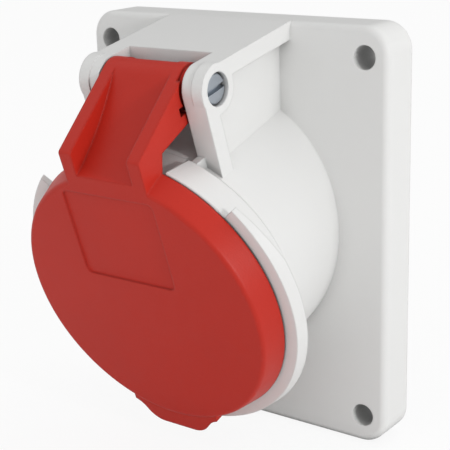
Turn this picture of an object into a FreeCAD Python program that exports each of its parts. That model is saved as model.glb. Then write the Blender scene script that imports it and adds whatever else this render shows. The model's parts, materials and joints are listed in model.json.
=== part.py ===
import FreeCAD, Part
import Sketcher
import math
import os

# Angled panel socket: a square-shouldered flange carries a round body that points
# forwards and down, with a sprung lid hinged between two ears above it.
# Frame: origin at the middle of the flange's back face, front towards -Y, up +Z.
# Socket frame: Z along the tilted axis, out of the mouth; Y up across it; X as in the part.

document = FreeCAD.newDocument("PanelSocket")
sheet = document.addObject("Spreadsheet::Sheet", "Sizes")
work = document.addObject("Spreadsheet::Sheet", "Work")
known_numbers = {}

DRIVING = [
    ("flange_width", 86), ("flange_height", 100), ("flange_thick", 10.8), ("flange_corner", 6.5),
    ("flange_edge_round", 1.6), ("flange_wall", 3), ("flange_skin", 3.6), ("rib_thick", 1.8),
    ("screw_pitch_x", 74), ("screw_pitch_z", 86), ("screw_hole_dia", 5.5), ("screw_boss_dia", 11),
    ("tilt", 18), ("axis_height", 1.3),
    ("seat_disc_dia", 78), ("seal_in_dia", 70), ("seal_out_dia", 75.6), ("seal_thick", 2),
    ("seal_gap", 0.1),
    ("overrun", 1),
    ("body_dia", 60.8), ("body_flare_dia", 61.6), ("flare_start", 8), ("flare_end", 21.2),
    ("collar_back", 23.4), ("collar_back_dia", 66.4), ("collar_front", 31.5), ("collar_front_dia", 69.2),
    ("collar_edge_round", 0.5),
    ("lip_front", 34.6), ("lip_dia", 62), ("lip_round", 0.6),
    ("apron_back", 28.4), ("apron_back_dia", 76.4), ("apron_front_dia", 74.8), ("apron_top_angle", 94),
    ("apron_taper_low", 13), ("apron_taper_high", 28), ("apron_taper_rise", 2.1),
    ("ear_foot_width", 27.6), ("ear_foot_sink", 0.6), ("notch_start", 16),
    ("mouth_dia", 57.6), ("gap_floor", 0), ("ledge_back", -6), ("ledge_hole_dia", 47.8),
    ("spigot_end", -15), ("spigot_dia", 62.6), ("spigot_bore_dia", 57.2),
    ("key_width", 8), ("key_deep", 1.1),
    ("ear_out", 17.4), ("web_out", 14.5), ("ear_in", 11.8), ("ear_round", 5.4), ("hood_root_height", 50),
    ("roof_thick", 4.2), ("ear_band", 4.2), ("boss_dia", 11.4), ("notch_back", -32.9),
    ("ear_tip_height", 22), ("web_foot_drop", 4), ("hinge_up", 44.3), ("hinge_out", 14.9),
    ("pin_head_dia", 6.8), ("pin_head_deep", 3), ("pin_head_edge", 0.5), ("pin_sink_dia", 7.5),
    ("pin_sink_deep", 3.6), ("pin_dia", 4), ("pin_hole_gap", 0.05), ("pin_slot_wide", 1.1),
    ("pin_slot_deep", 1.2), ("pin_tail_in", 0.6), ("pin_slot_turn", 105),
    ("lid_face", 38), ("lid_face_dia", 65.6), ("lid_rim", 32), ("lid_rim_dia", 69), ("lid_edge_round", 1.1),
    ("lid_skin", 2.4), ("lid_inside_dia", 64.4), ("lid_seal_out_dia", 63.8),
    ("lid_seal_thick", 1.8), ("lid_seal_lift", 0.3), ("locator_out_dia", 56.4), ("locator_in_dia", 54.4),
    ("arm_out", 11.3), ("arm_in", 7.9), ("knuckle_dia", 10.4), ("arm_base_up", 29.6), ("arm_base_in", 0.8),
    ("arm_nose_up", 38.3), ("arm_rear_up", 36.4), ("arm_rear_out", 30.2), ("arm_foot_up", 32.6),
    ("arm_foot_drop", 0.4), ("arm_nose_round", 0.9),
    ("hub_dia", 9), ("hub_groove_dia", 11.3), ("hub_step", 1.1),
    ("saddle_low_up", 32.6), ("saddle_top_turn", 48.5), ("saddle_thick", 2.2), ("saddle_back_drop", 4.2),
    ("saddle_back_in", 0.4),
    ("spring_room_dia", 8), ("spring_room_half", 7.2), ("spring_room_back", 1),
    ("spring_notch_drop", 3.8), ("spring_notch_tall", 1.9), ("spring_notch_reach", 4.7),
    ("spring_notch_deep", 2.1), ("hook_hold", 1.4),
    ("tab_half", 9.4), ("tab_inset", 0.6), ("tab_tip", 37.2), ("tab_round", 6), ("tab_blend", 3),
    ("tab_taper", 4.5), ("tab_root_in", 3), ("tab_side_shift", 0.3),
    ("label_wide", 25.8), ("label_up", 28.2), ("label_down", 6), ("label_deep", 0.4), ("label_corner", 1.5),
    ("label_shift", -1.2),
    ("carrier_front", 29), ("carrier_dia", 47), ("carrier_flange_dia", 56.6), ("carrier_flange_thick", 4),
    ("carrier_edge", 0.8), ("pole_pitch_dia", 33), ("pole_count", 5),
    ("block_thick", 10), ("block_dia", 56.4), ("block_gap", 0.3),
    ("fix_screw_pitch", 51.8), ("fix_screw_dia", 3), ("fix_thread_bite", 0.1), ("fix_hole_play", 0.2),
    ("fix_head_dia", 5.2), ("fix_head_thick", 2.2), ("fix_screw_long", 17),
    ("fix_slot_wide", 0.8), ("fix_slot_deep", 0.9), ("fix_slot_turn", 30),
    ("phase_pin_dia", 5), ("earth_pin_dia", 7), ("pin_play", 0.06), ("sleeve_wall", 1.1),
    ("sleeve_front", 26), ("sleeve_bore_back", -5), ("sleeve_shoulder", 1), ("shoulder_thick", 2),
    ("shoulder_play", 0.1), ("room_lead", 1),
    ("slit_wide", 0.6), ("slit_long", 14), ("ring_wide", 3), ("ring_thick", 0.7), ("ring_front", 25),
    ("ring_play", 0.02), ("ring_turn", 330),
    ("sleeve_room", 0.3), ("mouth_play", 0.12), ("mouth_lead", 0.8), ("shank_dia", 5), ("shank_end", -22),
    ("tongue_thick", 1.5), ("tongue_wide", 5.2), ("tongue_in", 3.2), ("tongue_out", 8.2),
    ("clamp_front", -20.6), ("clamp_back", -31), ("clamp_wide", 8.8), ("clamp_in", 2.6),
    ("clamp_out", 7.8), ("clamp_wall", 1.3), ("clamp_floor", 1.8), ("clamp_screw_dia", 3.5),
    ("clamp_screw_gap", 0.05), ("clamp_head_dia", 5.8), ("clamp_head_thick", 2.4), ("clamp_head_lift", 0.3),
    ("clamp_screw_tip", -27), ("clamp_slot_wide", 0.9), ("clamp_slot_deep", 1), ("clamp_slot_turn", 25),
    ("spring_wire_dia", 0.9), ("spring_mean_dia", 6.4), ("spring_turns", 4), ("spring_pitch", 2.6),
    ("spring_leg_turn", 40), ("seat_gap", 0.3),
    ("rib_inner", 13.5), ("rib_outer", 27), ("spigot_shoulder", -10.6), ("fix_pilot_deep", 4.4),
    ("fin_start", 6), ("fin_thick", 1.6), ("fin_short", 1),
]

# Sizes that follow from the driving ones, as formulas of the sheet.
DERIVED = [
    ("half_width", "flange_width / 2"), ("half_height", "flange_height / 2"),
    ("screw_x", "screw_pitch_x / 2"), ("screw_z", "screw_pitch_z / 2"),
    ("axis_back_height", "axis_height + flange_thick * tan(tilt)"),
    ("hinge_y", "-flange_thick - hinge_out * cos(tilt) - hinge_up * sin(tilt)"),
    ("hinge_z", "axis_height + hinge_up * cos(tilt) - hinge_out * sin(tilt)"),
    ("ear_face", "hinge_out + ear_round"),
    ("roof_run", "-flange_thick - hinge_y"), ("roof_rise", "hood_root_height - hinge_z"),
    ("roof_fall", "tan(atan(roof_rise / roof_run) - asin(ear_round / sqrt(roof_run^2 + roof_rise^2)))"),
    ("ear_corner_up", "(hood_root_height - axis_height + ear_face * (sin(tilt) - roof_fall * cos(tilt)))"
     " / (cos(tilt) + roof_fall * sin(tilt))"),
    ("web_corner_up", "(hood_root_height - roof_thick - axis_height"
     " + (ear_face - ear_band) * (sin(tilt) - roof_fall * cos(tilt))) / (cos(tilt) + roof_fall * sin(tilt))"),
    ("ear_foot_high", "sqrt(collar_back_dia^2 - ear_foot_width^2) / 2"),
    ("arm_reach", "sqrt((hinge_up - arm_nose_up)^2 + (lid_face - hinge_out)^2)"),
    ("arm_turn", "atan((lid_face - hinge_out) / (hinge_up - arm_nose_up))"
     " - asin(knuckle_dia / 2 / arm_reach)"),
    ("arm_run", "sqrt(arm_reach^2 - knuckle_dia^2 / 4)"),
    ("arm_touch_up", "arm_nose_up + arm_run * cos(arm_turn)"),
    ("arm_touch_out", "lid_face - arm_run * sin(arm_turn)"),
    ("rear_reach", "sqrt((hinge_up - arm_rear_up)^2 + (arm_rear_out - hinge_out)^2)"),
    ("rear_turn", "atan((arm_rear_out - hinge_out) / (hinge_up - arm_rear_up))"
     " + asin(knuckle_dia / 2 / rear_reach)"),
    ("rear_run", "sqrt(rear_reach^2 - knuckle_dia^2 / 4)"),
    ("arm_under_up", "arm_rear_up + rear_run * cos(rear_turn)"),
    ("arm_under_out", "arm_rear_out - rear_run * sin(rear_turn)"),
    ("saddle_top_up", "hinge_up + knuckle_dia / 2 * cos(saddle_top_turn)"),
    ("saddle_top_out", "hinge_out + knuckle_dia / 2 * sin(saddle_top_turn)"),
    ("saddle_run", "saddle_top_up - saddle_low_up"), ("saddle_fall", "lid_face - saddle_top_out"),
    ("saddle_half_turn", "atan(saddle_fall / saddle_run) / 1 deg - 90 + saddle_top_turn"),
    ("saddle_bow", "sqrt(saddle_run^2 + saddle_fall^2) / 2 / sin(saddle_half_turn)"),
    ("saddle_back_up", "saddle_top_up - saddle_back_drop"),
    ("tab_root_half", "tab_half + tab_blend"), ("tab_nose_half", "tab_half - tab_taper"),
    ("tab_shoulder", "sqrt(lid_rim_dia^2 / 4 - tab_root_half^2)"), ("tab_root", "tab_shoulder - tab_root_in"),
    ("tab_side", "(tab_shoulder + tab_tip) / 2 - tab_side_shift"),
    ("spring_notch_low", "hinge_up - spring_notch_drop"),
    ("spring_notch_back", "hinge_out + spring_notch_reach"),
    ("hook_up", "spring_notch_low + spring_wire_dia / 2 + seat_gap"),
    ("hook_out", "spring_notch_back + spring_notch_deep / 2"),
    ("hook_reach", "sqrt((hinge_up - hook_up)^2 + (hook_out - hinge_out)^2)"),
    ("spring_front_leg", "sqrt(hook_reach^2 - spring_mean_dia^2 / 4)"),
    ("hook_turn", "tilt + (atan(2 * spring_front_leg / spring_mean_dia)"
     " - atan((hook_out - hinge_out) / (hinge_up - hook_up))) / 1 deg"),
    ("coil_turns", "spring_turns - (spring_leg_turn + hook_turn) / 360"),
    ("spring_half", "coil_turns * spring_pitch / 2"),
    ("spring_rest_up", "sqrt(body_dia^2 / 4 - spring_half^2) + seat_gap"
     " + spring_wire_dia / 2 * cos(tilt + spring_leg_turn)"),
    ("spring_back_leg", "(hinge_up - spring_mean_dia / 2 * cos(tilt + spring_leg_turn) - spring_rest_up)"
     " / sin(tilt + spring_leg_turn)"),
    ("phase_sleeve_dia", "phase_pin_dia + pin_play + 2 * sleeve_wall"),
    ("earth_sleeve_dia", "earth_pin_dia + pin_play + 2 * sleeve_wall"),
    ("sleeve_slit_reach", "earth_sleeve_dia + overrun"),
    ("slit_back", "sleeve_front - slit_long"),
    ("carrier_back", "ledge_back - carrier_flange_thick"), ("block_back", "carrier_back - block_thick"),
    ("fin_back", "clamp_back + fin_short"),
    ("clamp_mid", "(clamp_in + clamp_out) / 2"),
    ("clamp_head_back", "clamp_back - clamp_head_thick - clamp_head_lift"),
]

SIZE_NAMES = set(name for name, value in DRIVING + DERIVED)


def bound(formula):
    """The formula with every size name turned into a reference to the sheet."""
    words = []
    word = ""
    for letter in formula + " ":
        if letter.isalnum() or letter == "_":
            word += letter
            continue
        words.append("Sizes." + word if word in SIZE_NAMES else word)
        words.append(letter)
        word = ""
    return "".join(words).strip()


def fill_sheet():
    """One row for each size: its name, and its value or formula under an alias."""
    row = 0
    for name, value in DRIVING + DERIVED:
        row += 1
        text = "=" + value if isinstance(value, str) else str(value)
        sheet.set("A%d" % row, name)
        sheet.set("B%d" % row, text)
        sheet.setAlias("B%d" % row, name)
    document.recompute()


def number(formula):
    """The present value of a formula, worked out on a sheet that no feature reads."""
    if formula not in known_numbers:
        work.set("A1", "=" + bound(formula))
        work.recompute()
        known_numbers[formula] = float(work.get("A1"))
    return known_numbers[formula]


def minus(formula):
    """The same length on the other side of zero."""
    return "-(" + formula + ")"


def up_to_y(up, out):
    """Part-frame Y of a point given in the socket frame, as a formula."""
    return "-flange_thick - (%s) * cos(tilt) - (%s) * sin(tilt)" % (out, up)


def up_to_z(up, out):
    """Part-frame Z of a point given in the socket frame, as a formula."""
    return "axis_height + (%s) * cos(tilt) - (%s) * sin(tilt)" % (up, out)


def side_point(up, out):
    """A point of the socket frame's side view, given in the part frame's side view."""
    return (up_to_y(up, out), up_to_z(up, out))


# Builders: each makes one feature whose sizes are bound to the sheet.

def new_body(label, frame=None):
    body = document.addObject("PartDesign::Body", label)
    body.Label = label
    if frame:
        body.setExpression("Placement", bound(frame))
    return body


def origin_plane(body, role):
    return [item for item in body.Origin.OriginFeatures if item.Role == role][0]


def new_sketch(body, role, name, lift=None):
    sketch = body.newObject("Sketcher::SketchObject", name)
    sketch.AttachmentSupport = [(origin_plane(body, role), "")]
    sketch.MapMode = "FlatFace"
    if lift:
        sketch.setExpression("AttachmentOffset.Base.z", bound(lift))
    return sketch


def pin_point(sketch, geometry, position, across, along):
    """Holds one point of the sketch at a bound distance from its origin, both ways."""
    for kind, formula in (("DistanceX", across), ("DistanceY", along)):
        value = number(formula)
        if abs(value) < 1e-9:
            axis = -2 if kind == "DistanceX" else -1
            sketch.addConstraint(Sketcher.Constraint("PointOnObject", geometry, position, axis))
            continue
        index = sketch.addConstraint(Sketcher.Constraint(kind, -1, 1, geometry, position, value))
        sketch.setExpression("Constraints[%d]" % index, bound(formula))


def arc_between(start, end, radius):
    """The arc from start to end: a positive radius turns left of the chord, a negative right."""
    chord = end - start
    middle = (start + end) * 0.5
    height = abs(radius) - math.sqrt(radius * radius - chord.Length * chord.Length / 4)
    side = FreeCAD.Vector(chord.y, -chord.x, 0).normalize() * math.copysign(height, radius)
    ends = (start, end) if radius > 0 else (end, start)
    return Part.Arc(ends[0], middle + side, ends[1])


def draw_outline(sketch, points):
    """A closed outline; a point with a third value starts an arc of that radius."""
    spots = [FreeCAD.Vector(number(point[0]), number(point[1]), 0) for point in points]
    count = len(points)
    first = sketch.GeometryCount
    starts = []
    for index, point in enumerate(points):
        here = spots[index]
        there = spots[(index + 1) % count]
        if len(point) == 3:
            sketch.addGeometry(arc_between(here, there, number(point[2])), False)
        else:
            sketch.addGeometry(Part.LineSegment(here, there), False)
        made = sketch.Geometry[first + index]
        starts.append(1 if made.StartPoint.distanceToPoint(here) < 1e-6 else 2)
    for index, point in enumerate(points):
        following = (index + 1) % count
        end = 3 - starts[index]
        join = Sketcher.Constraint("Coincident", first + index, end, first + following, starts[following])
        sketch.addConstraint(join)
        pin_point(sketch, first + index, starts[index], point[0], point[1])
        if len(point) == 3:
            radius = abs(number(point[2]))
            held = sketch.addConstraint(Sketcher.Constraint("Radius", first + index, radius))
            sketch.setExpression("Constraints[%d]" % held, bound("abs(%s)" % point[2]))


def draw_rectangle(sketch, left, right, low, high):
    draw_outline(sketch, [(left, low), (right, low), (right, high), (left, high)])


def draw_circle(sketch, across, along, diameter):
    centre = FreeCAD.Vector(number(across), number(along), 0)
    circle = Part.Circle(centre, FreeCAD.Vector(0, 0, 1), number(diameter) / 2)
    index = sketch.addGeometry(circle, False)
    pin_point(sketch, index, 3, across, along)
    held = sketch.addConstraint(Sketcher.Constraint("Diameter", index, number(diameter)))
    sketch.setExpression("Constraints[%d]" % held, bound(diameter))


def add_pad(body, sketch, length, both_ways=False, backwards=False):
    pad = body.newObject("PartDesign::Pad", sketch.Name + "_pad")
    pad.Profile = sketch
    pad.setExpression("Length", bound(length))
    pad.Midplane = both_ways
    pad.Reversed = backwards
    document.recompute()
    return pad


def add_pocket(body, sketch, length, both_ways=False, backwards=False):
    before = body.Shape.Volume
    pocket = body.newObject("PartDesign::Pocket", sketch.Name + "_pocket")
    pocket.Profile = sketch
    pocket.setExpression("Length", bound(length))
    pocket.Midplane = both_ways
    pocket.Reversed = backwards
    document.recompute()
    if body.Shape.Volume > before - 1e-3:
        raise ValueError(pocket.Name + " removes nothing")
    return pocket


def add_turn(body, sketch, angle="360", centred=False):
    turn = body.newObject("PartDesign::Revolution", sketch.Name + "_turn")
    turn.Profile = sketch
    turn.ReferenceAxis = (sketch, ["V_Axis"])
    turn.setExpression("Angle", bound(angle))
    turn.Midplane = centred
    document.recompute()
    return turn


def add_groove(body, sketch):
    before = body.Shape.Volume
    groove = body.newObject("PartDesign::Groove", sketch.Name + "_groove")
    groove.Profile = sketch
    groove.ReferenceAxis = (sketch, ["V_Axis"])
    groove.Angle = 360
    document.recompute()
    if body.Shape.Volume > before - 1e-3:
        raise ValueError(groove.Name + " removes nothing")
    return groove


def add_pattern(body, features, count, angle):
    pattern = body.newObject("PartDesign::PolarPattern", features[-1].Name + "_ring")
    pattern.Originals = features
    pattern.Axis = (origin_plane(body, "Z_Axis"), [""])
    pattern.setExpression("Angle", bound(angle))
    pattern.setExpression("Occurrences", bound(count))
    body.Tip = pattern
    document.recompute()
    return pattern


def add_mirror(body, features, role):
    mirror = body.newObject("PartDesign::Mirrored", features[-1].Name + "_mirror")
    mirror.Originals = features
    mirror.MirrorPlane = (origin_plane(body, role), [""])
    body.Tip = mirror
    document.recompute()
    return mirror


def edges_where(shape, test):
    return ["Edge%d" % (index + 1) for index, edge in enumerate(shape.Edges) if test(edge)]


def dress_edges(body, kind, name, test, size, value):
    """A fillet or chamfer on every edge that passes the test."""
    base = body.Tip
    edges = edges_where(base.Shape, test)
    if not edges:
        raise ValueError(name + " finds no edge")
    dressed = body.newObject("PartDesign::" + kind, name)
    dressed.Base = (base, edges)
    dressed.setExpression(size, bound(value))
    document.recompute()
    return dressed


def add_round(body, name, test, radius):
    return dress_edges(body, "Fillet", name, test, "Radius", radius)


def add_lead(body, name, test, size):
    return dress_edges(body, "Chamfer", name, test, "Size", size)


def near(value, target, slack=1e-3):
    return abs(value - target) < slack


def edge_spots(edge):
    """Three points of an edge: both ends and the middle."""
    first, last = edge.ParameterRange
    return [edge.valueAt(first), edge.valueAt((first + last) / 2), edge.valueAt(last)]


def add_cylinder(label, diameter, length, frame):
    cylinder = document.addObject("Part::Cylinder", label)
    cylinder.setExpression("Radius", bound("(%s) / 2" % diameter))
    cylinder.setExpression("Height", bound(length))
    cylinder.setExpression("Placement", bound(frame))
    return cylinder


def add_box(label, length, width, height, frame):
    box = document.addObject("Part::Box", label)
    box.setExpression("Length", bound(length))
    box.setExpression("Width", bound(width))
    box.setExpression("Height", bound(height))
    box.setExpression("Placement", bound(frame))
    return box


def join_all(label, items):
    joined = document.addObject("Part::MultiFuse", label)
    joined.Shapes = items
    joined.Refine = True
    return joined


def cut_away(label, base, tool):
    cut = document.addObject("Part::Cut", label)
    cut.Base = base
    cut.Tool = tool
    cut.Refine = True
    return cut


SOCKET_FRAME = "placement(vector(0; -flange_thick; axis_height); rotation(vector(1;0;0); 90 + tilt))"
HINGE_FRAME = "placement(vector(0; hinge_y; hinge_z); rotation(vector(0;1;0); 90))"


def moved(along_x, along_y, along_z, turn="0", about="0;0;1"):
    """The end of a frame formula: a shift and then a turn about one axis, in that frame."""
    return " * placement(vector(%s; %s; %s); rotation(vector(%s); %s))" % (
        along_x, along_y, along_z, about, turn)


def pole_frame(index):
    """The socket frame carried to one contact, its X pointing away from the axis."""
    turn = "-90 + %d * 360 / pole_count" % index
    return SOCKET_FRAME + moved("0", "0", "0", turn) + moved("pole_pitch_dia / 2", "0", "0")


fill_sheet()


# Housing: one moulding of flange, round body, collar, apron, hood and ears.

def make_flange():
    body = new_body("flange_form")
    face = new_sketch(body, "XZ_Plane", "flange_outline")
    draw_rectangle(face, "-half_width", "half_width", "-half_height", "half_height")
    add_pad(body, face, "flange_thick")
    half = number("half_width")
    front = -number("flange_thick")

    def is_corner(edge):
        spots = edge_spots(edge)
        return all(near(abs(spot.x), half) and near(spot.x, spots[0].x) for spot in spots) and \
            near(spots[0].z, spots[2].z)

    add_round(body, "flange_corners", is_corner, "flange_corner")
    add_round(body, "flange_front_round",
              lambda edge: all(near(spot.y, front) for spot in edge_spots(edge)), "flange_edge_round")
    hollow = new_sketch(body, "XZ_Plane", "flange_hollow")
    inner_x = "half_width - flange_wall"
    inner_z = "half_height - flange_wall"
    draw_rectangle(hollow, minus(inner_x), inner_x, minus(inner_z), inner_z)
    add_pocket(body, hollow, "flange_thick - flange_skin", backwards=True)
    seat = new_sketch(body, "XZ_Plane", "seal_seat")
    draw_circle(seat, "0", "axis_back_height", "seat_disc_dia")
    add_pad(body, seat, "flange_thick - flange_edge_round")
    for side in ("-", ""):
        for level in ("-", ""):
            name = "screw_boss_%s%s" % ("left" if side else "right", "_low" if level else "_high")
            boss = new_sketch(body, "XZ_Plane", name)
            draw_circle(boss, side + "screw_x", level + "screw_z", "screw_boss_dia")
            add_pad(body, boss, "flange_thick - flange_edge_round")
    for index, place in enumerate(("-rib_outer", "-rib_inner", "rib_inner", "rib_outer")):
        rib = new_sketch(body, "XZ_Plane", "flange_rib_%d" % index)
        draw_rectangle(rib, place + " - rib_thick / 2", place + " + rib_thick / 2", minus(inner_z), inner_z)
        add_pad(body, rib, "flange_thick - flange_edge_round")
    groove = new_sketch(body, "XZ_Plane", "seal_groove")
    draw_circle(groove, "0", "axis_back_height", "seal_in_dia - 2 * seal_gap")
    draw_circle(groove, "0", "axis_back_height", "seal_out_dia + 2 * seal_gap")
    add_pocket(body, groove, "seal_thick", backwards=True)
    holes = new_sketch(body, "XZ_Plane", "screw_holes")
    for side in ("-", ""):
        for level in ("-", ""):
            draw_circle(holes, side + "screw_x", level + "screw_z", "screw_hole_dia")
    add_pocket(body, holes, "flange_thick + overrun", backwards=True)
    return body


def make_barrel():
    body = new_body("barrel_form", SOCKET_FRAME)
    side = new_sketch(body, "XZ_Plane", "barrel_side")
    draw_outline(side, [
        ("0", "spigot_end"), ("spigot_dia / 2", "spigot_end"), ("spigot_dia / 2", "spigot_shoulder"),
        ("body_dia / 2", "spigot_shoulder"), ("body_dia / 2", "flare_start"),
        ("body_flare_dia / 2", "flare_end"), ("lip_dia / 2", "flare_end"), ("lip_dia / 2", "lip_front"),
        ("0", "lip_front")])
    add_turn(body, side)
    tip = number("lip_front")
    add_round(body, "lip_round_edge",
              lambda edge: all(near(spot.z, tip) for spot in edge_spots(edge)), "lip_round")
    return body


def make_collar():
    body = new_body("collar_form", SOCKET_FRAME)
    side = new_sketch(body, "XZ_Plane", "collar_side")
    inside = "(mouth_dia / 2 + overrun)"
    draw_outline(side, [
        (inside, "flare_end - overrun"), ("body_dia / 2", "flare_end - overrun"),
        ("body_flare_dia / 2", "flare_end"),
        ("collar_back_dia / 2", "collar_back"), ("collar_front_dia / 2", "collar_front"),
        (inside, "collar_front")])
    add_turn(body, side)
    front = number("collar_front")
    outer = number("collar_front_dia / 2")

    def is_front_rim(edge):
        return all(near(spot.z, front) and near(math.hypot(spot.x, spot.y), outer)
                   for spot in edge_spots(edge))

    add_round(body, "collar_front_round", is_front_rim, "collar_edge_round")
    for side_sign in ("-", ""):
        foot = new_sketch(body, "XY_Plane", "ear_foot_%s" % ("left" if side_sign else "right"),
                          "ear_face - ear_foot_sink")
        far_edge = side_sign + "ear_foot_width / 2"
        draw_outline(foot, [("0", "0"), (far_edge, "0"), (far_edge, "ear_foot_high"),
                            ("0", "ear_foot_high")])
        add_pad(body, foot, "collar_back - ear_face + overrun")
    notch = new_sketch(body, "XY_Plane", "collar_notch", "notch_start")
    draw_rectangle(notch, "-ear_in", "ear_in", "0", "collar_front_dia")
    add_pocket(body, notch, "collar_front", backwards=True)
    return body


def make_apron():
    body = new_body("apron_form", SOCKET_FRAME)
    side = new_sketch(body, "YZ_Plane", "apron_side")
    inside = "-(collar_back_dia / 2 - overrun)"
    draw_outline(side, [(inside, "apron_back"), ("-apron_back_dia / 2", "apron_back"),
                        ("-apron_front_dia / 2", "collar_front"), (inside, "collar_front")])
    add_turn(body, side, "360 - apron_top_angle", centred=True)
    taper = new_sketch(body, "YZ_Plane", "apron_taper")
    behind = "apron_back - overrun"
    draw_outline(taper, [("apron_taper_low", "apron_back"), ("apron_taper_low", behind),
                         ("apron_taper_high", behind), ("apron_taper_high", "apron_back + apron_taper_rise")])
    add_pocket(body, taper, "apron_back_dia", both_ways=True)
    return body


def make_hood():
    body = new_body("hood_form")
    cheek = new_sketch(body, "YZ_Plane", "hood_side")
    root = "flange_skin / 2 - flange_thick"
    draw_outline(cheek, [
        (root, "hood_root_height"), ("-flange_thick", "hood_root_height"),
        side_point("ear_corner_up", "ear_face"), side_point("ear_tip_height", "ear_face"),
        side_point("ear_tip_height", "0"), (root, "axis_height + ear_tip_height")])
    add_pad(body, cheek, "2 * ear_out", both_ways=True)
    corner_y = number(up_to_y("ear_corner_up", "ear_face"))
    corner_z = number(up_to_z("ear_corner_up", "ear_face"))
    add_round(body, "ear_rounding",
              lambda edge: all(near(spot.y, corner_y) and near(spot.z, corner_z)
                               for spot in edge_spots(edge)), "ear_round")
    under = "hood_root_height - roof_thick"
    opening = new_sketch(body, "YZ_Plane", "ear_gap")
    draw_outline(opening, [
        ("-flange_thick", under), ("notch_back", under + " + roof_fall * (notch_back + flange_thick)"),
        ("notch_back", "hood_root_height + overrun"), ("-lid_rim_dia", "hood_root_height + overrun"),
        ("-lid_rim_dia", "0"), ("-flange_thick", "0")])
    add_pocket(body, opening, "2 * ear_in", both_ways=True)
    web = new_sketch(body, "YZ_Plane", "web_recess", "web_out")
    band = "ear_face - ear_band"
    draw_outline(web, [
        ("-flange_thick", under), side_point("web_corner_up", band),
        side_point("ear_tip_height - web_foot_drop", band),
        ("-flange_thick", "axis_height + ear_tip_height - web_foot_drop")])
    recess = add_pocket(body, web, "ear_out", backwards=True)
    boss = new_sketch(body, "YZ_Plane", "hinge_boss", "web_out")
    draw_circle(boss, "hinge_y", "hinge_z", "boss_dia")
    raised = add_pad(body, boss, "ear_out - web_out")
    add_mirror(body, [recess, raised], "YZ_Plane")
    return body


def make_housing_hollows():
    """Everything that is open in the housing: mouth, rear room, keyway, pin and screw holes."""
    bore = new_body("mouth_form", SOCKET_FRAME)
    side = new_sketch(bore, "XZ_Plane", "mouth_side")
    draw_outline(side, [
        ("0", "lip_front + overrun"), ("mouth_dia / 2", "lip_front + overrun"),
        ("mouth_dia / 2", "gap_floor"),
        ("ledge_hole_dia / 2", "gap_floor"), ("ledge_hole_dia / 2", "ledge_back"),
        ("spigot_bore_dia / 2", "ledge_back"), ("spigot_bore_dia / 2", "-flange_height / 2"),
        ("0", "-flange_height / 2")])
    add_turn(bore, side)
    keyway = add_box("keyway_form", "key_width", "mouth_dia / 2", "lip_front + overrun - gap_floor",
                     SOCKET_FRAME + moved("-key_width / 2", "-mouth_dia / 2 - key_deep", "gap_floor"))
    pin_hole = add_cylinder("pin_hole_form", "pin_dia + 2 * pin_hole_gap", "2 * ear_out + 2 * overrun",
                            HINGE_FRAME + moved("0", "0", "-ear_out - overrun"))
    pin_sink = add_cylinder("pin_sink_form", "pin_sink_dia", "pin_sink_deep + overrun",
                            HINGE_FRAME + moved("0", "0", "ear_out - pin_sink_deep"))
    tools = [bore, keyway, pin_hole, pin_sink]
    for side_name, sign in (("left", "-"), ("right", "")):
        place = SOCKET_FRAME + moved(sign + "fix_screw_pitch / 2", "0", "ledge_back - overrun")
        tools.append(add_cylinder("pilot_%s_form" % side_name, "fix_screw_dia", "fix_pilot_deep + overrun",
                                  place))
    return join_all("housing_hollows", tools)


def make_housing():
    solid = join_all("housing_solid", [make_flange(), make_barrel(), make_collar(), make_apron(),
                                       make_hood()])
    return cut_away("housing", solid, make_housing_hollows())


# Lid: one moulding of cap, two arms, saddle, knuckle and thumb tab.

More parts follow.
